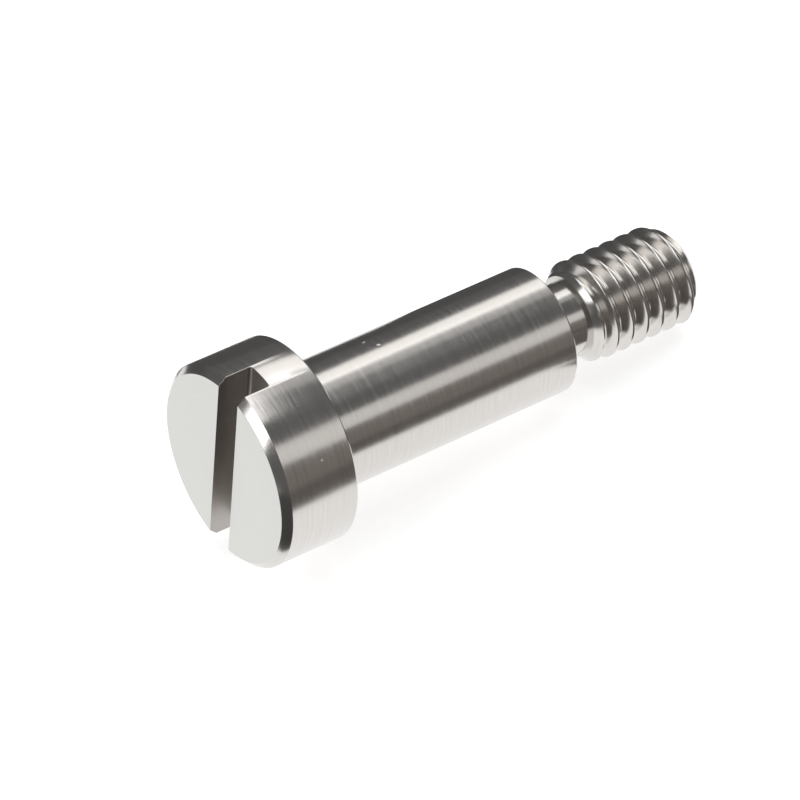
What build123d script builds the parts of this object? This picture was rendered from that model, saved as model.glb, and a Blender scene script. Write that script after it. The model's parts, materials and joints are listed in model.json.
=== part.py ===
from build123d import *
import os
from math import atan2, ceil, cos, radians, sin, sqrt, tan

# Slotted shoulder screw, turned from one bar of stainless steel.
# Millimetres. The screw lies on the plane Z = 0 as it comes to rest: on the rim under its
# head and on the end of its thread. The origin is the middle of its bounding box, at the
# bottom. The head is at -X, and +Z is up.

# Head: a plain cylinder with a broken face edge and a slot for a flat driver
head_diameter = 8.0
head_height = 3.2
head_chamfer = 0.3
slot_width = 1.2
slot_depth = 1.4
slot_corner_radius = 0.12
slot_turn = -3.5  # degrees about the screw axis, from upright

# Shoulder: the ground bearing surface, with its end edge and the rim under the head broken
shoulder_diameter = 5.0
shoulder_length = 11.0
edge_break = 0.08

# Neck: the undercut that lets the threading tool run out before the shoulder
neck_length = 1.4
neck_clearance = 0.17  # how far the neck's surface lies below the thread's root
neck_corner_radius = 0.15

# Thread: M4 x 0.7, right-handed, measured from the shoulder's end to the tip
thread_diameter = 4.0
thread_pitch = 0.7
thread_reach = 6.3
thread_start_chamfer = 0.4
tip_chamfer = 0.5

# Thread form: 60 degree flanks, with a flat crest and a flat root
flank_half_angle = 30.0
crest_flat = thread_pitch / 8
thread_depth = 17 / 24 * thread_pitch * sqrt(3) / 2
groove_mouth = thread_pitch - crest_flat
flank_slope = tan(radians(flank_half_angle))
groove_floor = groove_mouth - 2 * thread_depth * flank_slope
cutter_overhang = crest_flat / 2  # the cutter stands out of the bar, with its turns apart
cutter_depth = thread_depth + cutter_overhang
cutter_mouth = groove_mouth + 2 * cutter_overhang * flank_slope

# Radii
head_radius = head_diameter / 2
shoulder_radius = shoulder_diameter / 2
thread_radius = thread_diameter / 2
root_radius = thread_radius - thread_depth
neck_radius = root_radius - neck_clearance

# Stations along the screw axis, from the slotted face
shoulder_start = head_height
shoulder_end = shoulder_start + shoulder_length
neck_end = shoulder_end + neck_length
tip = shoulder_end + thread_reach

# Rest: a thread's crest winds towards the tip, so a lying screw rolls until its centre of
# mass is lowest. There the last full crest touches the plane Z = 0, and so does the next
# turn across the groove, on the corner between its flank and the tip's chamfer.
rim_station = shoulder_start - edge_break
rim_drop = head_radius - thread_radius
full_reach = tip - tip_chamfer - groove_mouth - rim_station
corner_drop = rim_drop * groove_mouth / (full_reach + rim_drop * flank_slope)
rest_reach = full_reach + corner_drop * (1 + flank_slope)
rest_tilt = atan2(rim_drop, rest_reach)
axis_direction = Vector(cos(rest_tilt), 0, -sin(rest_tilt))
up_direction = Vector(sin(rest_tilt), 0, cos(rest_tilt))

# The bounding box runs from the bottom of the slotted face to the top of the tip face
face_radius = head_radius - head_chamfer
tip_radius = thread_radius - tip_chamfer
reach_behind = face_radius * sin(rest_tilt)
reach_ahead = tip * cos(rest_tilt) + tip_radius * sin(rest_tilt)
face_centre = Vector(
    (reach_behind - reach_ahead) / 2,
    0,
    rim_station * sin(rest_tilt) + head_radius * cos(rest_tilt),
)
screw_axis = Axis(face_centre, axis_direction)
section_plane = Plane(face_centre, x_dir=axis_direction, z_dir=up_direction)
slot_direction = up_direction.rotate(screw_axis, slot_turn)
slot_plane = Plane(face_centre, x_dir=axis_direction.cross(slot_direction), z_dir=slot_direction)

# The thread groove starts in the air past the tip, a whole number of turns and a half from
# the crest that the screw rests on, and ends in the air over the neck
rest_crest = rim_station + rest_reach - crest_flat / 2
air_turns = ceil((tip - rest_crest + groove_mouth / 2) / thread_pitch - 1 / 2) + 1 / 2
groove_start = rest_crest + air_turns * thread_pitch
groove_turns = ceil((groove_start - neck_end + groove_mouth / 3) / thread_pitch)
groove_centre = face_centre + axis_direction * groove_start


def turned_edge(station, rank):
    """The circular edge at a station on the screw axis: rank 0 is the inner one, -1 the outer."""
    circles = shoulder_screw.edges().filter_by(GeomType.CIRCLE)
    there = circles.filter_by(
        lambda edge: abs((edge.arc_center - face_centre).dot(axis_direction) - station) < 0.001
    )
    return there.sort_by(SortBy.RADIUS)[rank]


with BuildPart() as shoulder_screw:
    # The turned blank: half its section, spun about the screw axis
    with BuildSketch(section_plane):
        with BuildLine():
            Polyline(
                (0, 0),
                (0, head_radius),
                (shoulder_start, head_radius),
                (shoulder_start, shoulder_radius),
                (shoulder_end, shoulder_radius),
                (shoulder_end, neck_radius),
                (neck_end, neck_radius),
                (neck_end, thread_radius),
                (tip, thread_radius),
                (tip, 0),
                close=True,
            )
        make_face()
    revolve(axis=screw_axis)

    # Corners at the neck's floor, and the broken edges
    fillet([turned_edge(shoulder_end, 0), turned_edge(neck_end, 0)], neck_corner_radius)
    chamfer(turned_edge(0, -1), head_chamfer)
    chamfer([turned_edge(shoulder_start, -1), turned_edge(shoulder_end, -1)], edge_break)
    chamfer(turned_edge(neck_end, -1), thread_start_chamfer)
    chamfer(turned_edge(tip, -1), tip_chamfer)

    # Driver slot, milled right across the head and clear of its rim
    with BuildSketch(slot_plane) as slot_section:
        Rectangle(slot_width, slot_depth, align=(Align.CENTER, Align.MIN))
        fillet(slot_section.vertices().group_by(Axis.Y)[-1], slot_corner_radius)
    extrude(amount=head_diameter, both=True, mode=Mode.SUBTRACT)

    # Thread: a turn of the groove, cut along a helix and repeated from past the tip to the neck
    with BuildLine():
        groove_path = Helix(thread_pitch, thread_pitch, root_radius, groove_centre, -axis_direction)
    cutter_out = (groove_path @ 0 - groove_centre).normalized()
    with BuildSketch(Plane(groove_path @ 0, x_dir=cutter_out, z_dir=groove_path % 0)):
        with BuildLine():
            Polyline(
                (0, -groove_floor / 2),
                (cutter_depth, -cutter_mouth / 2),
                (cutter_depth, cutter_mouth / 2),
                (0, groove_floor / 2),
                close=True,
            )
        make_face()
    turn_cutter = sweep(is_frenet=True, mode=Mode.PRIVATE)
    with Locations([axis_direction * -thread_pitch * turn for turn in range(groove_turns)]):
        add(turn_cutter, mode=Mode.SUBTRACT)

shoulder_screw.part.label = "shoulder_screw"
os.makedirs("parts", exist_ok=True)
export_step(shoulder_screw.part, "parts/shoulder_screw.step")
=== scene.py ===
"""Dresses the slotted shoulder screw: its turned body, its steel finishes, the lights and the camera."""

import json
import logging
import math
from dataclasses import dataclass, field
from enum import Enum, IntEnum

import bmesh
import bpy
from mathutils import Matrix, Vector


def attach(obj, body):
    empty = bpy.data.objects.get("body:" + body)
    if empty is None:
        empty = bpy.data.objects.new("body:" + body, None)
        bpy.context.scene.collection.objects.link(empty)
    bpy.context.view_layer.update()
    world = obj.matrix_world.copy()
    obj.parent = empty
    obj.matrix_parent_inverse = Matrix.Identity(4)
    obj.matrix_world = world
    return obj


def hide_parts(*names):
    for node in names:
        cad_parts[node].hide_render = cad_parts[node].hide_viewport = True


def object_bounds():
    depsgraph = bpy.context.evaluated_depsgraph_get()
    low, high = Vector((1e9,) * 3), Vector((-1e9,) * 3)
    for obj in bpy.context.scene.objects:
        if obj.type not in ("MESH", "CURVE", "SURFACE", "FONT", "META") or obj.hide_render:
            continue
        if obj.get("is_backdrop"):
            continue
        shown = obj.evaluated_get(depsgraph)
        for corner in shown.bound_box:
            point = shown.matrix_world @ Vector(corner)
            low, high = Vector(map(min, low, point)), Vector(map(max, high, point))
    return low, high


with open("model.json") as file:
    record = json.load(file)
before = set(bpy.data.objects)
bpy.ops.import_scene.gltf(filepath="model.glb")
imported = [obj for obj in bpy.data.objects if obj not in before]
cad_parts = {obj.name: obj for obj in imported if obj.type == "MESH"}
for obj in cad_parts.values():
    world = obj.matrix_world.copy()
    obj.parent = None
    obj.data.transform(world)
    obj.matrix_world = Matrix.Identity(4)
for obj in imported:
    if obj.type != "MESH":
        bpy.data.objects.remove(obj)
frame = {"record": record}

LOG = logging.getLogger("shoulder_screw")
MM = 0.001  # metres
TOUCHING = 1e-4  # millimetres: a face this near a surface lies on it
ON_RIM = 1e-3  # millimetres: an edge or a face this near a station lies at it
ON_PLANE = 1e-5  # millimetres: a point this near a cutting plane lies in it
SQUARE_TO_AXIS = 0.99  # cosine from which a face counts as square to the axis
ROUNDING_ROWS = 5  # rows of faces across a rounded edge
HALF_SIDE = 0.5  # half the side of a square one metre wide
CHAMFER_ANGLE = math.radians(45)  # between each of the thread's chamfers and the axis
Colour = tuple[float, float, float]


class ToolMarks(Enum):
    """The way that a tool's fine marks run over a surface."""

    AROUND = "rings at right angles to the screw's axis"
    FACING = "rings on a flat face, one inside the other"


class Easing(Enum):
    """The way that one range of values is carried over to another."""

    EVEN = "LINEAR"
    SOFT = "SMOOTHSTEP"


class Surface(IntEnum):
    """The screw's surfaces, in the order of its materials."""

    GROUND = 0
    TURNED = 1
    FACED = 2
    MILLED = 3
    THREADED = 4


@dataclass(frozen=True)
class ScrewAxes:
    """The screw's own axes: x is up, y points to the near side, and z runs from head to tip.

    Attributes:
        face_centre: The middle of the slotted face, in the frame.
        axis: The unit vector along the screw, towards the tip.
        rest_tilt: How far the axis slopes down, in radians.
    """

    face_centre: Vector
    axis: Vector
    rest_tilt: float

    @classmethod
    def from_record(cls, record: dict, head_height: float) -> "ScrewAxes":
        """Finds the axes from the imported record's mounts.

        Args:
            record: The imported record.
            head_height: The head's height, in millimetres.

        Returns:
            The screw's axes in the frame.
        """
        mounts = {mount["name"]: mount for mount in record["mounts"]}
        axis = Vector(mounts["shoulder"]["axis"]).normalized()
        on_axis = Vector(mounts["shoulder"]["pos_m"])
        seat = Vector(mounts["head_seat"]["pos_m"])
        head_end = on_axis + axis * axis.dot(seat - on_axis)
        return cls(head_end - axis * head_height * MM, axis, math.atan2(-axis.z, axis.x))

    @property
    def turn(self) -> Matrix:
        """The rotation from the screw's own axes to the frame's.

        Returns:
            The rotation.
        """
        up = Vector((math.sin(self.rest_tilt), 0, math.cos(self.rest_tilt)))
        side = self.axis.cross(up)
        return Matrix((up, side, self.axis)).transposed()

    @property
    def to_frame(self) -> Matrix:
        """The matrix from the screw's own millimetres to the frame's metres."""
        return Matrix.Translation(self.face_centre) @ self.turn.to_4x4() @ Matrix.Scale(MM, 4)

    def direction(self, around: float, lean: float) -> Vector:
        """A direction out from the screw.

        Args:
            around: Degrees about the screw's axis, from up towards the near side.
            lean: Degrees from square to the axis, towards the tip.

        Returns:
            The direction as a unit vector in the frame.
        """
        about, tilt = math.radians(around), math.radians(lean)
        own = Vector((math.cos(about) * math.cos(tilt), math.sin(about) * math.cos(tilt), math.sin(tilt)))
        return self.turn @ own


@dataclass(frozen=True)
class Nick:
    """A small dent in the steel, as handling leaves it. Its sizes are in millimetres.

    Attributes:
        station: How far it lies from the slotted face, along the axis.
        around: Degrees about the axis, from up towards the near side.
        radius: How far it lies from the axis.
        size: The dent's own radius.
    """

    station: float
    around: float
    radius: float
    size: float

    def centre(self) -> Vector:
        """The nick's middle in the screw's own millimetres."""
        about = math.radians(self.around)
        return Vector((self.radius * math.cos(about), self.radius * math.sin(about), self.station))


@dataclass(frozen=True)
class SteelFinish:
    """Bare stainless steel with the fine marks of the tool that cut it.

    Attributes:
        name: The material's name.
        marks: The way that the tool's marks run.
        colour: The steel's colour where the marks leave it brightest.
        roughness: The mean roughness.
        roughness_spread: How far the marks carry the roughness from its lowest to its highest.
        shade_spread: How much the marks darken the colour.
        marked_from, marked_to: The part of the marks' pattern over which they darken it.
        marks_per_mm: How closely the marks lie.
        marks_detail, marks_harshness: How fine and how harsh the marks' pattern is.
        mark_depth: How deep the marks are, in millimetres.
        patches_per_mm, patches_detail, patches_harshness: The pattern of the surface's slow waves.
        unevenness: How high the waves are, in millimetres.
        nicks: The dents in this surface.
        nick_width_per_depth: How many times wider than deep a nick is, from its middle to its edge.
        nick_roughness: How much rougher the steel is in the middle of a nick.
    """

    name: str
    marks: ToolMarks
    colour: Colour = (0.76, 0.735, 0.705)
    roughness: float = 0.2
    roughness_spread: float = 0.12
    shade_spread: float = 0.1
    marked_from: float = 0.25
    marked_to: float = 0.75
    marks_per_mm: float = 9.0
    marks_detail: float = 3.0
    marks_harshness: float = 0.6
    mark_depth: float = 0.0012
    patches_per_mm: float = 2.5
    patches_detail: float = 2.0
    patches_harshness: float = 0.5
    unevenness: float = 0.0016
    nicks: tuple[Nick, ...] = ()
    nick_width_per_depth: float = 6.0
    nick_roughness: float = 0.5

    def build(self, axes: ScrewAxes) -> bpy.types.Material:
        """Makes the material.

        Args:
            axes: The screw's axes, which the marks follow.

        Returns:
            The finished material.
        """
        material = bpy.data.materials.new(self.name)
        material.use_nodes = True
        tree = material.node_tree
        shader = tree.nodes["Principled BSDF"]
        shader.inputs["Metallic"].default_value = 1.0

        place = self._own_place(tree, axes)
        marks = self._marks(tree, place)
        tree.links.new(self._marked_colour(tree, marks), shader.inputs["Base Color"])

        half_spread = self.roughness_spread / 2
        roughness_range = (self.roughness - half_spread, self.roughness + half_spread)
        roughness = self._mapped(tree, marks, (0.0, 1.0), roughness_range)
        waves = self._noise(tree, place, self.patches_per_mm, self.patches_detail, self.patches_harshness)
        uneven = self._scaled(tree, waves, self.unevenness)
        height = self._sum(tree, self._scaled(tree, marks, self.mark_depth), uneven)
        for nick in self.nicks:
            dent = self._dent(tree, place, nick)
            hollow = self._scaled(tree, dent, -nick.size / self.nick_width_per_depth)
            height = self._sum(tree, height, hollow)
            roughness = self._sum(tree, roughness, self._scaled(tree, dent, self.nick_roughness))
        tree.links.new(roughness, shader.inputs["Roughness"])

        bump = self._node(tree, "ShaderNodeBump")
        bump.inputs["Strength"].default_value = 1.0
        bump.inputs["Distance"].default_value = MM
        tree.links.new(height, bump.inputs["Height"])
        tree.links.new(bump.outputs["Normal"], shader.inputs["Normal"])
        return material

    def _node(self, tree: bpy.types.NodeTree, kind: str) -> bpy.types.Node:
        """Adds a node of one kind to the tree."""
        return tree.nodes.new(kind)

    def _own_place(self, tree: bpy.types.NodeTree, axes: ScrewAxes) -> bpy.types.NodeSocket:
        """Turns object coordinates into the screw's own millimetres.

        Args:
            tree: The material's nodes.
            axes: The screw's axes.

        Returns:
            The place on the screw.
        """
        coordinates = self._node(tree, "ShaderNodeTexCoord")
        mapping = self._node(tree, "ShaderNodeMapping")
        mapping.vector_type = "TEXTURE"
        mapping.inputs["Location"].default_value = axes.face_centre
        mapping.inputs["Rotation"].default_value = axes.turn.to_euler()
        mapping.inputs["Scale"].default_value = (MM, MM, MM)
        tree.links.new(coordinates.outputs["Object"], mapping.inputs["Vector"])
        return mapping.outputs["Vector"]

    def _marks(self, tree: bpy.types.NodeTree, place: bpy.types.NodeSocket) -> bpy.types.NodeSocket:
        """Makes the pattern of fine tool marks.

        The pattern changes fast across the marks, and slowly round the axis, where it reads only the
        direction out from it.

        Args:
            tree: The material's nodes.
            place: The place on the screw.

        Returns:
            The pattern, from 0 to 1.
        """
        split = self._node(tree, "ShaderNodeSeparateXYZ")
        tree.links.new(place, split.inputs["Vector"])
        flat = self._node(tree, "ShaderNodeCombineXYZ")
        tree.links.new(split.outputs["X"], flat.inputs["X"])
        tree.links.new(split.outputs["Y"], flat.inputs["Y"])
        radius = self._node(tree, "ShaderNodeVectorMath")
        radius.operation = "LENGTH"
        tree.links.new(flat.outputs["Vector"], radius.inputs[0])
        across = split.outputs["Z"] if self.marks is ToolMarks.AROUND else radius.outputs["Value"]

        outward = self._node(tree, "ShaderNodeVectorMath")
        outward.operation = "NORMALIZE"
        tree.links.new(flat.outputs["Vector"], outward.inputs[0])
        outward_parts = self._node(tree, "ShaderNodeSeparateXYZ")
        tree.links.new(outward.outputs["Vector"], outward_parts.inputs["Vector"])
        line = self._node(tree, "ShaderNodeCombineXYZ")
        tree.links.new(outward_parts.outputs["X"], line.inputs["X"])
        tree.links.new(outward_parts.outputs["Y"], line.inputs["Y"])
        tree.links.new(self._scaled(tree, across, self.marks_per_mm), line.inputs["Z"])
        return self._noise(tree, line.outputs["Vector"], 1.0, self.marks_detail, self.marks_harshness)

    def _marked_colour(self, tree: bpy.types.NodeTree, marks: bpy.types.NodeSocket) -> bpy.types.NodeSocket:
        """Darkens the steel's colour a little where the marks run.

        Args:
            tree: The material's nodes.
            marks: The pattern of the marks.

        Returns:
            The colour.
        """
        marked_range = (self.marked_from, self.marked_to)
        shade = self._mapped(tree, marks, marked_range, (1 - self.shade_spread, 1.0))
        tint = self._node(tree, "ShaderNodeMix")
        tint.data_type, tint.blend_type = "RGBA", "MULTIPLY"
        tint.inputs["Factor"].default_value = 1.0
        tint.inputs["A"].default_value = (*self.colour, 1.0)
        tree.links.new(shade, tint.inputs["B"])
        return tint.outputs["Result"]

    def _dent(
        self, tree: bpy.types.NodeTree, place: bpy.types.NodeSocket, nick: Nick
    ) -> bpy.types.NodeSocket:
        """Makes one nick's shape.

        Args:
            tree: The material's nodes.
            place: The place on the screw.
            nick: The nick.

        Returns:
            The shape, 1 in the nick's middle and 0 from its edge outwards.
        """
        distance = self._node(tree, "ShaderNodeVectorMath")
        distance.operation = "DISTANCE"
        tree.links.new(place, distance.inputs[0])
        distance.inputs[1].default_value = nick.centre()
        return self._mapped(tree, distance.outputs["Value"], (0.0, nick.size), (1.0, 0.0), Easing.SOFT)

    def _noise(
        self,
        tree: bpy.types.NodeTree,
        place: bpy.types.NodeSocket,
        scale: float,
        detail: float,
        harshness: float,
    ) -> bpy.types.NodeSocket:
        """Makes an uneven pattern.

        Args:
            tree: The material's nodes.
            place: Where the pattern is read.
            scale: How close the pattern is.
            detail: How many finer layers it has.
            harshness: How strong the finer layers are.

        Returns:
            The pattern, from 0 to 1.
        """
        noise = self._node(tree, "ShaderNodeTexNoise")
        noise.inputs["Scale"].default_value = scale
        noise.inputs["Detail"].default_value = detail
        noise.inputs["Roughness"].default_value = harshness
        tree.links.new(place, noise.inputs["Vector"])
        return noise.outputs["Fac"]

    def _mapped(
        self,
        tree: bpy.types.NodeTree,
        value: bpy.types.NodeSocket,
        source: tuple[float, float],
        target: tuple[float, float],
        easing: Easing = Easing.EVEN,
    ) -> bpy.types.NodeSocket:
        """Carries a value over from one range to another.

        Args:
            tree: The material's nodes.
            value: The value.
            source: The range that it comes from. Past its ends the result stays at the target's ends.
            target: The range that it goes to.
            easing: The way between the two ends.

        Returns:
            The value in its new range.
        """
        carried = self._node(tree, "ShaderNodeMapRange")
        carried.interpolation_type = easing.value
        carried.inputs["From Min"].default_value, carried.inputs["From Max"].default_value = source
        carried.inputs["To Min"].default_value, carried.inputs["To Max"].default_value = target
        tree.links.new(value, carried.inputs["Value"])
        return carried.outputs["Result"]

    def _sum(
        self, tree: bpy.types.NodeTree, first: bpy.types.NodeSocket, second: bpy.types.NodeSocket
    ) -> bpy.types.NodeSocket:
        """Adds two values.

        Args:
            tree: The material's nodes.
            first: The one value.
            second: The other value.

        Returns:
            Their sum.
        """
        total = self._node(tree, "ShaderNodeMath")
        total.operation = "ADD"
        tree.links.new(first, total.inputs[0])
        tree.links.new(second, total.inputs[1])
        return total.outputs["Value"]

    def _scaled(
        self, tree: bpy.types.NodeTree, value: bpy.types.NodeSocket, by: float
    ) -> bpy.types.NodeSocket:
        """Multiplies a value by a number.

        Args:
            tree: The material's nodes.
            value: The value.
            by: The number.

        Returns:
            Their product.
        """
        times = self._node(tree, "ShaderNodeMath")
        times.operation = "MULTIPLY"
        tree.links.new(value, times.inputs[0])
        times.inputs[1].default_value = by
        return times.outputs["Value"]


@dataclass(frozen=True)
class Corner:
    """One corner of a turned outline, in the screw's own millimetres.

    Attributes:
        station: How far it lies from the slotted face, along the axis.
        radius: How far it lies from the axis.
        rounding: The radius of its round, or 0 where it stays sharp.
    """

    station: float
    radius: float
    rounding: float = 0.0


@dataclass
class TurnedBody:
    """The head, the shoulder and the neck, as turned from the bar. Its sizes are in millimetres.

    Attributes:
        head_radius, head_height, head_chamfer: The head, and the chamfer round its slotted face.
        shoulder_radius, shoulder_length: The ground part under the head.
        edge_break: The small chamfers under the head and at the shoulder's end.
        neck_radius, neck_length, neck_corner: The undercut before the thread, and its inner radius.
        edge_rounding: The radius that is left on every outer edge.
        under_head_corner: The radius between the head and the shoulder.
        segments: Steps in one turn.
        merge_within: Points nearer than this are merged.
    """

    head_radius: float = 4.0
    head_height: float = 3.2
    head_chamfer: float = 0.3
    shoulder_radius: float = 2.5
    shoulder_length: float = 11.0
    edge_break: float = 0.08
    neck_radius: float = 1.4006
    neck_length: float = 1.4
    neck_corner: float = 0.15
    edge_rounding: float = 0.025
    under_head_corner: float = 0.05
    segments: int = 288
    merge_within: float = 1e-5

    @property
    def rim_station(self) -> float:
        """Where the rim under the head is at its full radius."""
        return self.head_height - self.edge_break

    @property
    def shoulder_end(self) -> float:
        """The station of the shoulder's end face."""
        return self.head_height + self.shoulder_length

    @property
    def neck_end(self) -> float:
        """The station where the thread starts."""
        return self.shoulder_end + self.neck_length

    def outline(self) -> list[Corner]:
        """Draws half the body's section.

        Returns:
            Its corners, from the middle of the slotted face to the thread.
        """
        soft = self.edge_rounding
        return [
            Corner(0, 0),
            Corner(0, self.head_radius - self.head_chamfer, soft),
            Corner(self.head_chamfer, self.head_radius, soft),
            Corner(self.rim_station, self.head_radius, soft),
            Corner(self.head_height, self.head_radius - self.edge_break, soft),
            Corner(self.head_height, self.shoulder_radius, self.under_head_corner),
            Corner(self.shoulder_end - self.edge_break, self.shoulder_radius, soft),
            Corner(self.shoulder_end, self.shoulder_radius - self.edge_break, soft),
            Corner(self.shoulder_end, self.neck_radius, self.neck_corner),
            Corner(self.neck_end, self.neck_radius),
        ]

    def turn(self, bm: bmesh.types.BMesh) -> None:
        """Spins the outline about the axis.

        Args:
            bm: The mesh that gets the body, open at the thread's end.
        """
        corners = self.outline()
        verts = [bm.verts.new((corner.radius, 0, corner.station)) for corner in corners]
        for start, end in zip(verts, verts[1:]):
            bm.edges.new((start, end))
        for corner, vert in zip(corners, verts):
            if corner.rounding:
                round_corner(bm, vert, corner.rounding)
        bmesh.ops.spin(
            bm,
            geom=bm.verts[:] + bm.edges[:],
            cent=(0, 0, 0),
            axis=(0, 0, 1),
            dvec=(0, 0, 0),
            angle=math.tau,
            steps=self.segments,
            use_merge=True,
            use_normal_flip=False,
            use_duplicate=False,
        )
        bmesh.ops.remove_doubles(bm, verts=bm.verts[:], dist=self.merge_within)


def round_corner(bm: bmesh.types.BMesh, vert: bmesh.types.BMVert, radius: float) -> None:
    """Rounds one corner of an open outline.

    Args:
        bm: The mesh that holds the outline.
        vert: The corner, with two edges.
        radius: The radius of the round, in millimetres.
    """
    ways = [(edge.other_vert(vert).co - vert.co).normalized() for edge in vert.link_edges]
    half_angle = ways[0].angle(ways[1]) / 2
    bmesh.ops.bevel(
        bm,
        geom=[vert],
        offset=radius / math.tan(half_angle),
        offset_type="OFFSET",
        segments=ROUNDING_ROWS,
        profile=0.5,
        affect="VERTICES",
        material=-1,
    )


@dataclass
class DriverSlot:
    """The slot for a flat driver, milled right across the head. Its sizes are in millimetres.

    Attributes:
        width: The slot's width.
        depth: Its depth below the slotted face.
        corner: The radius along each side of its floor.
        turn: Degrees that it stands turned from upright, about the screw's axis.
        mouth_rounding: The radius of the edges where it opens.
        corner_rows, mouth_rows: Rows of faces across the two roundings.
    """

    width: float = 1.2
    depth: float = 1.4
    corner: float = 0.12
    turn: float = -3.5
    mouth_rounding: float = 0.045
    corner_rows: int = 6
    mouth_rows: int = 2

    @property
    def along(self) -> Matrix:
        """The turn from the slot's own axes, with x along it, to the screw's."""
        return Matrix.Rotation(math.radians(self.turn), 4, "Z")

    def cutter(self, head_radius: float) -> bpy.types.Object:
        """Makes the bar that cuts the slot.

        Args:
            head_radius: The head's radius, in millimetres.

        Returns:
            The cutter, as an object in the screw's own millimetres.
        """
        longer_than_head, twice_depth = 3 * head_radius, 2 * self.depth
        bm = bmesh.new()
        bmesh.ops.create_cube(bm, size=1.0)
        bmesh.ops.scale(bm, vec=(longer_than_head, self.width, twice_depth), verts=bm.verts[:])
        floor_edges = [
            edge
            for edge in bm.edges
            if all(vert.co.z > 0 for vert in edge.verts)
            and abs((edge.verts[0].co - edge.verts[1].co).x) > head_radius
        ]
        bmesh.ops.bevel(
            bm,
            geom=floor_edges,
            offset=self.corner,
            offset_type="OFFSET",
            segments=self.corner_rows,
            profile=0.5,
            affect="EDGES",
            material=-1,
        )
        bmesh.ops.transform(bm, matrix=self.along, verts=bm.verts[:])
        return object_from(bm, "slot_cutter")

    def mill(self, bm: bmesh.types.BMesh, head_radius: float) -> bmesh.types.BMesh:
        """Cuts the slot into the turned body.

        Args:
            bm: The closed body, which is used up.
            head_radius: The head's radius, in millimetres.

        Returns:
            The body with its slot.
        """
        body, cutter = object_from(bm, "body_blank"), self.cutter(head_radius)
        cut = body.modifiers.new("slot", "BOOLEAN")
        cut.operation, cut.solver, cut.object = "DIFFERENCE", "EXACT", cutter
        milled = bmesh.new()
        milled.from_object(body, bpy.context.evaluated_depsgraph_get())
        for helper in (body, cutter):
            bpy.data.objects.remove(helper)
        mouth = [edge for edge in milled.edges if sum(self.owns(face) for face in edge.link_faces) == 1]
        bmesh.ops.bevel(
            milled,
            geom=mouth,
            offset=self.mouth_rounding,
            offset_type="OFFSET",
            segments=self.mouth_rows,
            profile=0.5,
            affect="EDGES",
            clamp_overlap=True,
            material=-1,
        )
        return milled

    def owns(self, face: bmesh.types.BMFace) -> bool:
        """Tells if a face of the body lies in the slot."""
        centre = self.along.inverted() @ face.calc_center_median()
        return abs(centre.y) < self.width / 2 + TOUCHING and centre.z < self.depth + TOUCHING


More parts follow.
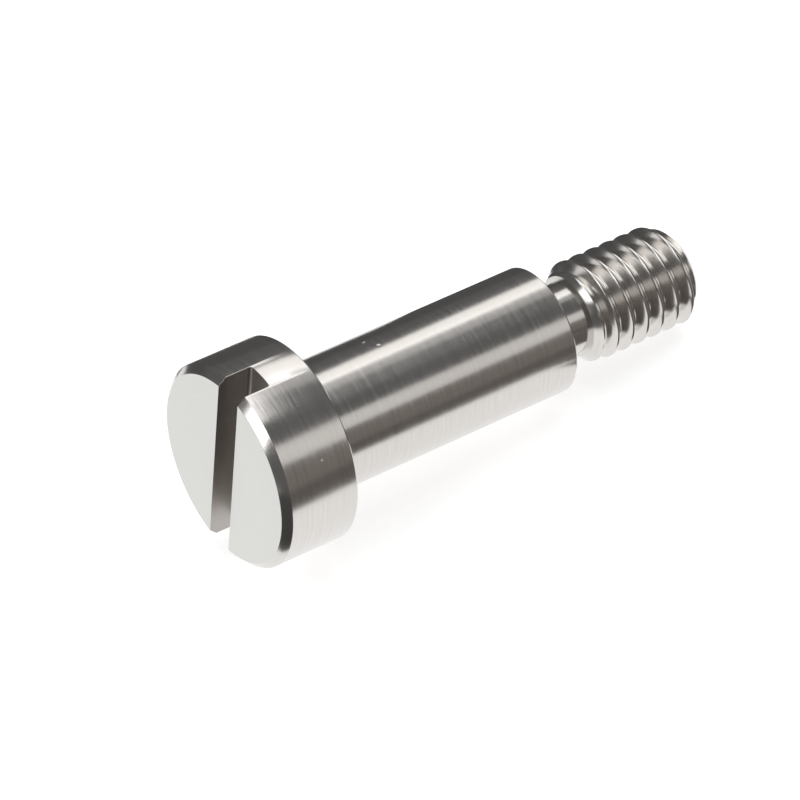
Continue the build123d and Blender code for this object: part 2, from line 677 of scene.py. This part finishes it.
@dataclass
class Thread:
    """The thread, with the phase that the screw comes to rest on. Its sizes are in millimetres.

    Attributes:
        radius: Half of the thread's diameter over its crests.
        pitch: How far the thread moves on in one turn.
        reach: How far the tip lies from the shoulder's end.
        start_chamfer, tip_chamfer: The chamfers at the thread's two ends, both at 45 degrees.
        crest_rounding, root_rounding: The radii at the edges of the crests and of the groove's floor.
        tip_rounding: How far the round between the tip's chamfer and its face reaches from their corner.
        flank_angle: Degrees between a flank and a plane square to the axis.
        groove_share: The groove's depth as a share of the height of the pitch's sharp triangle.
        crest_share: The crest's width as a share of the pitch.
        flank_rows, tip_rows: Rows of faces across a flank and across the tip's round.
        segments: Steps in one turn.
        merge_within: Points nearer than this are merged.
    """

    radius: float = 2.0
    pitch: float = 0.7
    reach: float = 6.3
    start_chamfer: float = 0.4
    tip_chamfer: float = 0.5
    crest_rounding: float = 0.04
    root_rounding: float = 0.07
    tip_rounding: float = 0.02
    flank_angle: float = 30.0
    groove_share: float = 17 / 24
    crest_share: float = 1 / 8
    flank_rows: int = 7
    tip_rows: int = 3
    segments: int = 180
    merge_within: float = 1e-4

    @property
    def depth(self) -> float:
        """How deep the groove is."""
        return self.groove_share * self.pitch * math.sqrt(3) / 2

    @property
    def crest_flat(self) -> float:
        """How wide the crest is before it is rounded."""
        return self.pitch * self.crest_share

    def rest_crest(self, body: TurnedBody, rest_tilt: float) -> float:
        """Where the crest that the screw rests on has its middle, straight below the axis."""
        touching = body.rim_station + (body.head_radius - self.radius) / math.tan(rest_tilt)
        return touching - self.crest_flat / 2

    def cut(self, bm: bmesh.types.BMesh, body: TurnedBody, rest_tilt: float) -> None:
        """Winds the thread's skin and closes it at the tip.

        Args:
            bm: The mesh that gets the skin, open at its start.
            body: The body that the thread follows on from.
            rest_tilt: How far the screw's axis slopes down, in radians.
        """
        tip = body.shoulder_end + self.reach
        first_groove = self.rest_crest(body, rest_tilt)
        first_groove -= math.ceil((first_groove + self.pitch - body.neck_end) / self.pitch) * self.pitch
        turns = math.ceil((tip - first_groove) / self.pitch)
        bmesh.ops.spin(
            bm,
            geom=self._one_pitch(bm, first_groove),
            cent=(0, 0, 0),
            axis=(0, 0, 1),
            dvec=(0, 0, self.pitch / self.segments),
            angle=math.tau,
            steps=self.segments,
            use_merge=False,
            use_normal_flip=False,
            use_duplicate=False,
        )
        one_turn = bm.verts[:] + bm.edges[:] + bm.faces[:]
        for turn in range(1, turns):
            copied = bmesh.ops.duplicate(bm, geom=one_turn)["geom"]
            moved = [part for part in copied if isinstance(part, bmesh.types.BMVert)]
            bmesh.ops.translate(bm, vec=(0, 0, turn * self.pitch), verts=moved)
        bmesh.ops.remove_doubles(bm, verts=bm.verts[:], dist=self.merge_within)
        for vert in bm.verts:
            self._chamfer(vert, body.neck_end, tip)
        round_start = tip - self.tip_rounding * math.cos(CHAMFER_ANGLE)
        for station, outward in ((body.neck_end, -1), (round_start, 1)):
            bmesh.ops.bisect_plane(
                bm,
                geom=bm.verts[:] + bm.edges[:] + bm.faces[:],
                dist=ON_PLANE,
                plane_co=(0, 0, station),
                plane_no=(0, 0, outward),
                clear_outer=True,
            )
        self._round_tip(bm, tip, rim_edges(bm, round_start))

    def _round_tip(self, bm: bmesh.types.BMesh, tip: float, rim: list[bmesh.types.BMEdge]) -> None:
        """Rounds the rim between the tip's chamfer and its flat face, and closes the face.

        Args:
            bm: The mesh that holds the thread's skin.
            tip: The station of the tip's face.
            rim: The open edges where the round starts.
        """
        face_radius = self.radius - self.tip_chamfer - self.tip_rounding
        bend = self.tip_rounding / math.tan(CHAMFER_ANGLE / 2)
        reached = face_radius + bend * math.sin(CHAMFER_ANGLE)
        for step in range(1, self.tip_rows + 1):
            angle = CHAMFER_ANGLE * (1 - step / self.tip_rows)
            radius = face_radius + bend * math.sin(angle)
            grown = bmesh.ops.extrude_edge_only(bm, edges=rim)["geom"]
            rim = [part for part in grown if isinstance(part, bmesh.types.BMEdge)]
            ring = [part for part in grown if isinstance(part, bmesh.types.BMVert)]
            bmesh.ops.scale(bm, vec=(radius / reached, radius / reached, 1), verts=ring)
            for vert in ring:
                vert.co.z = tip - bend * (1 - math.cos(angle))
            reached = radius
        bmesh.ops.edgeloop_fill(bm, edges=rim)

    def _one_pitch(
        self, bm: bmesh.types.BMesh, start: float
    ) -> list[bmesh.types.BMVert | bmesh.types.BMEdge]:
        """Draws the section of one ridge, from the middle of one groove to the next.

        Args:
            bm: The empty mesh that gets the section.
            start: The station of the first groove's middle.

        Returns:
            The section's points and edges.
        """
        root, half_crest = self.radius - self.depth, self.crest_flat / 2
        crest = start + self.pitch / 2
        flank = self.depth * math.tan(math.radians(self.flank_angle))
        points = (
            (root, start),
            (root, crest - half_crest - flank),
            (self.radius, crest - half_crest),
            (self.radius, crest + half_crest),
            (root, crest + half_crest + flank),
            (root, start + self.pitch),
        )
        verts = [bm.verts.new((radius, 0, station)) for radius, station in points]
        for low, high in zip(verts, verts[1:]):
            bm.edges.new((low, high))
        roundings = (self.root_rounding, self.crest_rounding, self.crest_rounding, self.root_rounding)
        for vert, rounding in zip(verts[1:-1], roundings):
            round_corner(bm, vert, rounding)
        half_depth = self.depth / 2
        flanks = [edge for edge in bm.edges if edge.calc_length() > half_depth]
        bmesh.ops.subdivide_edges(bm, edges=flanks, cuts=self.flank_rows - 1)
        return bm.verts[:] + bm.edges[:]

    def _chamfer(self, vert: bmesh.types.BMVert, start: float, tip: float) -> None:
        """Brings a point of the skin in to the chamfers at the thread's two ends, both at 45 degrees.

        Args:
            vert: The point, which is moved towards the axis where it stands proud.
            start: The station where the thread starts.
            tip: The station of the tip's face.
        """
        over_start = vert.co.z - start - self.start_chamfer
        before_tip = tip - vert.co.z - self.tip_chamfer
        most = self.radius + min(over_start, before_tip)
        out = math.hypot(vert.co.x, vert.co.y)
        if out > most:
            vert.co.x *= most / out
            vert.co.y *= most / out


def rim_edges(bm: bmesh.types.BMesh, station: float) -> list[bmesh.types.BMEdge]:
    """Finds the open edges at a station on the screw's axis."""
    open_edges = [edge for edge in bm.edges if edge.is_boundary]
    return [edge for edge in open_edges if all(abs(vert.co.z - station) < ON_RIM for vert in edge.verts)]


def object_from(bm: bmesh.types.BMesh, name: str) -> bpy.types.Object:
    """Makes an object of a mesh and frees the mesh.

    Args:
        bm: The mesh, which is used up.
        name: The object's name.

    Returns:
        The object, linked to the scene.
    """
    mesh = bpy.data.meshes.new(name)
    bm.to_mesh(mesh)
    bm.free()
    made = bpy.data.objects.new(name, mesh)
    bpy.context.scene.collection.objects.link(made)
    return made


@dataclass
class ShoulderScrew:
    """The whole screw as one closed piece of steel.

    Attributes:
        body: The head, the shoulder and the neck.
        driver_slot: The slot in the head.
        thread: The thread and the tip.
        ground, turned, faced, milled, threaded: The steel as each tool leaves it. The head's turned steel
            is set a little lighter than the ground steel, which paints part of the head's brighter
            highlight, and the slot's milled steel is darker and browner, which paints the shade in the
            slot.
        smooth_below: Degrees between two faces from which their edge is shaded as sharp.
        shading_weight: How far large faces lead the shading, where 50 is not at all and 100 is fully.
    """

    body: TurnedBody = field(default_factory=TurnedBody)
    driver_slot: DriverSlot = field(default_factory=DriverSlot)
    thread: Thread = field(default_factory=Thread)
    ground: SteelFinish = SteelFinish(
        "ground_steel", ToolMarks.AROUND, nicks=(Nick(6.65, -23, 2.5, 0.12), Nick(6.95, -11, 2.5, 0.1))
    )
    # The head's steel is set a little lighter than the shoulder's, which paints part of the head's brighter
    # highlight.
    turned: SteelFinish = SteelFinish(
        "turned_steel_with_painted_highlight",
        ToolMarks.AROUND,
        colour=(0.78, 0.755, 0.725),
        roughness=0.19,
        nicks=(Nick(1.9, 52, 4.0, 0.08),),
    )
    faced: SteelFinish = SteelFinish(
        "faced_steel",
        ToolMarks.FACING,
        colour=(0.745, 0.75, 0.72),
        roughness=0.3,
        shade_spread=0.04,
        mark_depth=0.0004,
    )
    # The slot's steel is darker and browner than the rest of the screw: painted shade in the slot.
    milled: SteelFinish = SteelFinish(
        "milled_steel_with_painted_shade", ToolMarks.FACING, colour=(0.5, 0.47, 0.445), roughness=0.34
    )
    threaded: SteelFinish = SteelFinish("threaded_steel", ToolMarks.AROUND, mark_depth=0.0003)
    smooth_below: float = 38.0
    shading_weight: int = 100

    def build(self, axes: ScrewAxes) -> bpy.types.Object:
        """Makes the screw where the frame has it.

        Args:
            axes: The screw's axes.

        Returns:
            The finished piece.
        """
        bm = self._slotted_body()
        self._join_thread(bm, axes.rest_tilt)
        bmesh.ops.recalc_face_normals(bm, faces=bm.faces[:])
        self._finish_faces(bm)
        bmesh.ops.transform(bm, matrix=axes.to_frame, verts=bm.verts[:])
        screw = object_from(bm, "turned_screw")
        finishes = {
            Surface.GROUND: self.ground,
            Surface.TURNED: self.turned,
            Surface.FACED: self.faced,
            Surface.MILLED: self.milled,
            Surface.THREADED: self.threaded,
        }
        for surface in Surface:
            screw.data.materials.append(finishes[surface].build(axes))
        screw.data.set_sharp_from_angle(angle=math.radians(self.smooth_below))
        weighted = screw.modifiers.new("even_shading", "WEIGHTED_NORMAL")
        weighted.keep_sharp = True
        weighted.weight = self.shading_weight
        return screw

    def _slotted_body(self) -> bmesh.types.BMesh:
        """Turns the body and mills its slot.

        Returns:
            The body, open at the thread's end.
        """
        bm = bmesh.new()
        self.body.turn(bm)
        bmesh.ops.edgeloop_fill(bm, edges=rim_edges(bm, self.body.neck_end))
        bmesh.ops.recalc_face_normals(bm, faces=bm.faces[:])
        bm = self.driver_slot.mill(bm, self.body.head_radius)
        neck_end = self.body.neck_end
        caps = [face for face in bm.faces if abs(face.calc_center_median().z - neck_end) < TOUCHING]
        bmesh.ops.delete(bm, geom=caps, context="FACES")
        return bm

    def _join_thread(self, bm: bmesh.types.BMesh, rest_tilt: float) -> None:
        """Cuts the thread and joins it to the neck.

        Args:
            bm: The body, open at the thread's end, which becomes the closed screw.
            rest_tilt: How far the screw's axis slopes down, in radians.
        """
        thread = bmesh.new()
        self.thread.cut(thread, self.body, rest_tilt)
        skin = bpy.data.meshes.new("thread_skin")
        thread.to_mesh(skin)
        thread.free()
        bm.from_mesh(skin)
        bpy.data.meshes.remove(skin)
        bmesh.ops.bridge_loops(bm, edges=rim_edges(bm, self.body.neck_end))

    def _finish_faces(self, bm: bmesh.types.BMesh) -> None:
        """Gives each face its finish by its place on the screw.

        Args:
            bm: The screw, in its own millimetres.
        """
        tip = self.body.shoulder_end + self.thread.reach
        for face in bm.faces:
            face.smooth = True
            station = face.calc_center_median().z
            if self.driver_slot.owns(face):
                surface = Surface.MILLED
            elif abs(face.normal.z) > SQUARE_TO_AXIS and (station < ON_RIM or station > tip - ON_RIM):
                surface = Surface.FACED
            elif station > self.body.shoulder_end + ON_RIM:
                surface = Surface.THREADED
            else:
                surface = Surface.GROUND if station > self.body.head_height else Surface.TURNED
            face.material_index = surface.value


def matte_material(name: str, colour: Colour) -> bpy.types.Material:
    """Makes a plain material without any gloss.

    Args:
        name: The material's name.
        colour: Its colour.

    Returns:
        The material.
    """
    material = bpy.data.materials.new(name)
    material.use_nodes = True
    shader = material.node_tree.nodes["Principled BSDF"]
    shader.inputs["Base Color"].default_value = (*colour, 1.0)
    shader.inputs["Roughness"].default_value = 1.0
    shader.inputs["Specular IOR Level"].default_value = 0.0
    return material


def facing_screw(axes: ScrewAxes, around: float, lean: float, distance: float) -> Matrix:
    """Places something that faces the screw, with its own x along the screw's axis.

    Args:
        axes: The screw's axes.
        around: Degrees about the screw's axis, from up towards the near side.
        lean: Degrees from square to the axis, towards the tip.
        distance: How far it stands from the screw, in metres.

    Returns:
        The placed thing's matrix.
    """
    away = axes.direction(around, lean)
    length_way = (axes.axis - away * axes.axis.dot(away)).normalized()
    width_way = away.cross(length_way)
    turn = Matrix((length_way, width_way, away)).transposed().to_4x4()
    return Matrix.Translation(away * distance) @ turn


@dataclass(frozen=True)
class Softbox:
    """A flat, even light that stands round the screw.

    Attributes:
        name: The light's name.
        around: Degrees about the screw's axis, from up towards the near side.
        lean: Degrees from square to the axis, towards the tip.
        distance: How far it stands from the screw, in metres.
        length, width: Its sides along the screw and across it, in metres.
        radiance: How bright it looks, where 1 is as bright as white.
        colour: Its colour.
    """

    name: str
    around: float
    lean: float
    distance: float
    length: float
    width: float
    radiance: float
    colour: Colour = (1.0, 1.0, 1.0)

    def build(self, axes: ScrewAxes) -> bpy.types.Object:
        """Hangs the light, with its length along the screw.

        Args:
            axes: The screw's axes.

        Returns:
            The light.
        """
        data = bpy.data.lights.new(self.name, "AREA")
        data.shape = "RECTANGLE"
        data.size, data.size_y = self.length, self.width
        # An even light of this area looks as bright as its radiance.
        data.energy = self.radiance * math.pi * self.length * self.width
        data.color = self.colour
        light = bpy.data.objects.new(self.name, data)
        light.matrix_world = facing_screw(axes, self.around, self.lean, self.distance)
        light.visible_camera = False
        bpy.context.scene.collection.objects.link(light)
        return light


@dataclass(frozen=True)
class DarkCard:
    """A dark card that lies just over the floor, and that only the screw's reflections show.

    Its sides are metres from the frame's middle, before the card is turned about it.

    Attributes:
        name: The card's name.
        from_side, to_side: Its two sides along the screw, where the near side is negative.
        from_head, to_tip: Its two ends, where the head's side is negative.
        turn: Degrees that the card is turned about the frame's middle, seen from above.
        height: How far it lies over the floor, in metres.
        colour: Its colour.
    """

    name: str
    from_side: float
    to_side: float
    from_head: float
    to_tip: float
    turn: float = 0.0
    height: float = 0.0006
    colour: Colour = (0.13, 0.13, 0.13)

    def build(self) -> bpy.types.Object:
        """Lays the card.

        Returns:
            The card.
        """
        length, width = self.to_tip - self.from_head, self.to_side - self.from_side
        middle = ((self.from_head + self.to_tip) / 2, (self.from_side + self.to_side) / 2, self.height)
        bm = bmesh.new()
        bmesh.ops.create_grid(bm, x_segments=1, y_segments=1, size=HALF_SIDE)
        bmesh.ops.scale(bm, vec=(length, width, 1), verts=bm.verts[:])
        bmesh.ops.translate(bm, vec=middle, verts=bm.verts[:])
        bmesh.ops.rotate(bm, matrix=Matrix.Rotation(math.radians(self.turn), 3, "Z"), verts=bm.verts[:])
        card = object_from(bm, self.name)
        card.data.materials.append(matte_material(self.name, self.colour))
        card.visible_camera = False
        card.visible_diffuse = False
        card.visible_shadow = False
        card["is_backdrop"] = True
        return card


@dataclass
class Studio:
    """A white floor, dim surroundings, the lights and the dark cards.

    Attributes:
        floor_size: The floor's side, in metres.
        floor_colour: The floor's own colour, under the lights.
        floor_glow: What is added to the lit floor where the camera sees it, so that it shows as white.
        reflected_white: How bright the floor is in reflections, where 1 is white.
        surroundings: The even colour all round, above the floor.
        lights: The lights.
        cards: The dark cards.
    """

    floor_size: float = 4.0
    floor_colour: Colour = (0.8, 0.8, 0.8)
    floor_glow: float = 0.7
    reflected_white: float = 1.0
    surroundings: Colour = (0.112, 0.112, 0.112)
    lights: tuple[Softbox, ...] = (
        Softbox("far_softbox", -40.5, 27, 0.6, 0.9, 0.22, 1.12, (1.0, 0.985, 0.97)),
        Softbox("far_fill", -24, 27, 0.62, 0.9, 0.22, 0.28),
        Softbox("near_strip", 47, 27, 0.6, 0.9, 0.21, 0.64, (1.0, 0.975, 0.95)),
        Softbox("near_fill", 74, 27, 0.62, 0.9, 0.28, 0.08, (1.0, 0.8, 0.65)),
        Softbox("head_softbox", -4, -57, 0.7, 0.5, 0.32, 2.2),
        Softbox("side_softbox", -91, -54, 0.5, 0.12, 0.2, 0.9),
        Softbox("top_softbox", -10, 3, 0.6, 0.36, 0.42, 1.9),
    )
    cards: tuple[DarkCard, ...] = (
        DarkCard("near_card", -2.0, -0.0165, -2.0, 2.0, turn=28, colour=(0.2, 0.185, 0.17)),
        DarkCard("near_card_edge", -0.0165, -0.0122, -0.3, 0.3, turn=28, colour=(0.36, 0.34, 0.32)),
        DarkCard("head_card", -0.08, -0.0043, -0.3, -0.0113, colour=(0.1, 0.1, 0.1)),
        DarkCard("far_card", 0.0095, 2.0, -0.009, 2.0),
        DarkCard("far_head_card", 0.0155, 2.0, -2.0, -0.009),
        DarkCard("far_thread_card", 0.005, 0.0095, 0.002, 0.25),
        # These two cards paint the floor's shade beside and under the thread into the thread's reflections.
        DarkCard("near_thread_card", -0.0117, -0.0072, 0.0068, 0.03, colour=(0.2, 0.185, 0.17)),
        DarkCard("under_thread_card", -0.0072, -0.0026, 0.0058, 0.03, colour=(0.2, 0.185, 0.17)),
    )

    def build(self, axes: ScrewAxes) -> None:
        """Builds the studio round the screw.

        Args:
            axes: The screw's axes.
        """
        floor = self._floor()
        LOG.info("%s: %.1f m wide", floor.name, self.floor_size)
        for light in self.lights:
            light.build(axes)
            LOG.info("%s: %.2f m by %.2f m", light.name, light.length, light.width)
        for card in self.cards:
            card.build()
            LOG.info("%s: %.1f mm over the floor", card.name, card.height / MM)
        world = self._surroundings()
        LOG.info("%s: even", world.name)

    def _surroundings(self) -> bpy.types.World:
        """Sets the even surroundings.

        Returns:
            The world that holds them.
        """
        world = bpy.data.worlds.new("studio_world")
        world.use_nodes = True
        background = world.node_tree.nodes["Background"]
        background.inputs["Color"].default_value = (*self.surroundings, 1.0)
        background.inputs["Strength"].default_value = 1.0
        bpy.context.scene.world = world
        return world

    def _floor(self) -> bpy.types.Object:
        """Lays the white floor that the screw lies on.

        Returns:
            The floor.
        """
        bm = bmesh.new()
        bmesh.ops.create_grid(bm, x_segments=1, y_segments=1, size=self.floor_size / 2)
        floor = object_from(bm, "floor")
        material = matte_material("white_floor", self.floor_colour)
        self._white_to_see(material.node_tree)
        floor.data.materials.append(material)
        floor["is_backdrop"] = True
        return floor

    def _white_to_see(self, tree: bpy.types.NodeTree) -> None:
        """Makes the floor white to the camera and in reflections, without lighting the screw with it.

        Args:
            tree: The floor's nodes, with its lit shader in place.
        """
        path = tree.nodes.new("ShaderNodeLightPath")
        lit = tree.nodes["Principled BSDF"].outputs["BSDF"]
        glow = tree.nodes.new("ShaderNodeEmission")
        glow.inputs["Strength"].default_value = self.floor_glow
        shown = tree.nodes.new("ShaderNodeAddShader")
        tree.links.new(lit, shown.inputs[0])
        tree.links.new(glow.outputs["Emission"], shown.inputs[1])
        white = tree.nodes.new("ShaderNodeEmission")
        white.inputs["Strength"].default_value = self.reflected_white
        looks = (
            ("Is Camera Ray", shown.outputs["Shader"]),
            ("Is Glossy Ray", white.outputs["Emission"]),
            ("Is Transmission Ray", white.outputs["Emission"]),
        )
        surface = lit
        for ray, look in looks:
            choice = tree.nodes.new("ShaderNodeMixShader")
            tree.links.new(path.outputs[ray], choice.inputs["Fac"])
            tree.links.new(surface, choice.inputs[1])
            tree.links.new(look, choice.inputs[2])
            surface = choice.outputs["Shader"]
        tree.links.new(surface, tree.nodes["Material Output"].inputs["Surface"])


@dataclass
class StudioCamera:
    """The camera, with a long lens.

    Attributes:
        azimuth: Degrees round from straight in front, where the head's side is negative.
        elevation: Degrees above the floor.
        distance: How far it stands from what it aims at, in metres.
        lens: Its focal length, in millimetres.
        aim_offset: Where it aims, in metres from the middle of the screw's box.
        clip: The nearest and the farthest that it sees, in metres.
    """

    azimuth: float = -34.93
    elevation: float = 50.5
    distance: float = 0.2198
    lens: float = 270.0
    aim_offset: tuple[float, float, float] = (-0.00284, -0.00086, 0.0)
    clip: tuple[float, float] = (0.01, 20.0)

    def build(self, low: Vector, high: Vector) -> bpy.types.Object:
        """Sets up the camera.

        Args:
            low: The lowest corner of the screw's box.
            high: The highest corner of the screw's box.

        Returns:
            The camera.
        """
        data = bpy.data.cameras.new("studio_camera")
        data.lens = self.lens
        data.clip_start, data.clip_end = self.clip
        camera = bpy.data.objects.new("studio_camera", data)
        about, up = math.radians(self.azimuth), math.radians(self.elevation)
        back = Vector((math.sin(about) * math.cos(up), -math.cos(about) * math.cos(up), math.sin(up)))
        aim = (low + high) / 2 + Vector(self.aim_offset)
        camera.location = aim + back * self.distance
        camera.rotation_euler = (-back).to_track_quat("-Z", "Y").to_euler()
        bpy.context.scene.collection.objects.link(camera)
        bpy.context.scene.camera = camera
        return camera


def main() -> None:
    """Builds the screw, its studio and its camera."""
    logging.basicConfig(level=logging.INFO, format="%(name)s: %(message)s")
    low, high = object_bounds()
    screw_parts = ShoulderScrew()
    axes = ScrewAxes.from_record(frame["record"], screw_parts.body.head_height)
    screw = screw_parts.build(axes)
    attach(screw, "root")
    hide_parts("shoulder_screw")
    LOG.info("%s: %d faces", screw.name, len(screw.data.polygons))
    Studio().build(axes)
    camera = StudioCamera().build(low, high)
    LOG.info("%s: %.0f mm lens", camera.name, camera.data.lens)
    bpy.context.scene.view_settings.view_transform = "Standard"
    bpy.context.view_layer.update()


if __name__ == "__main__":
    main()
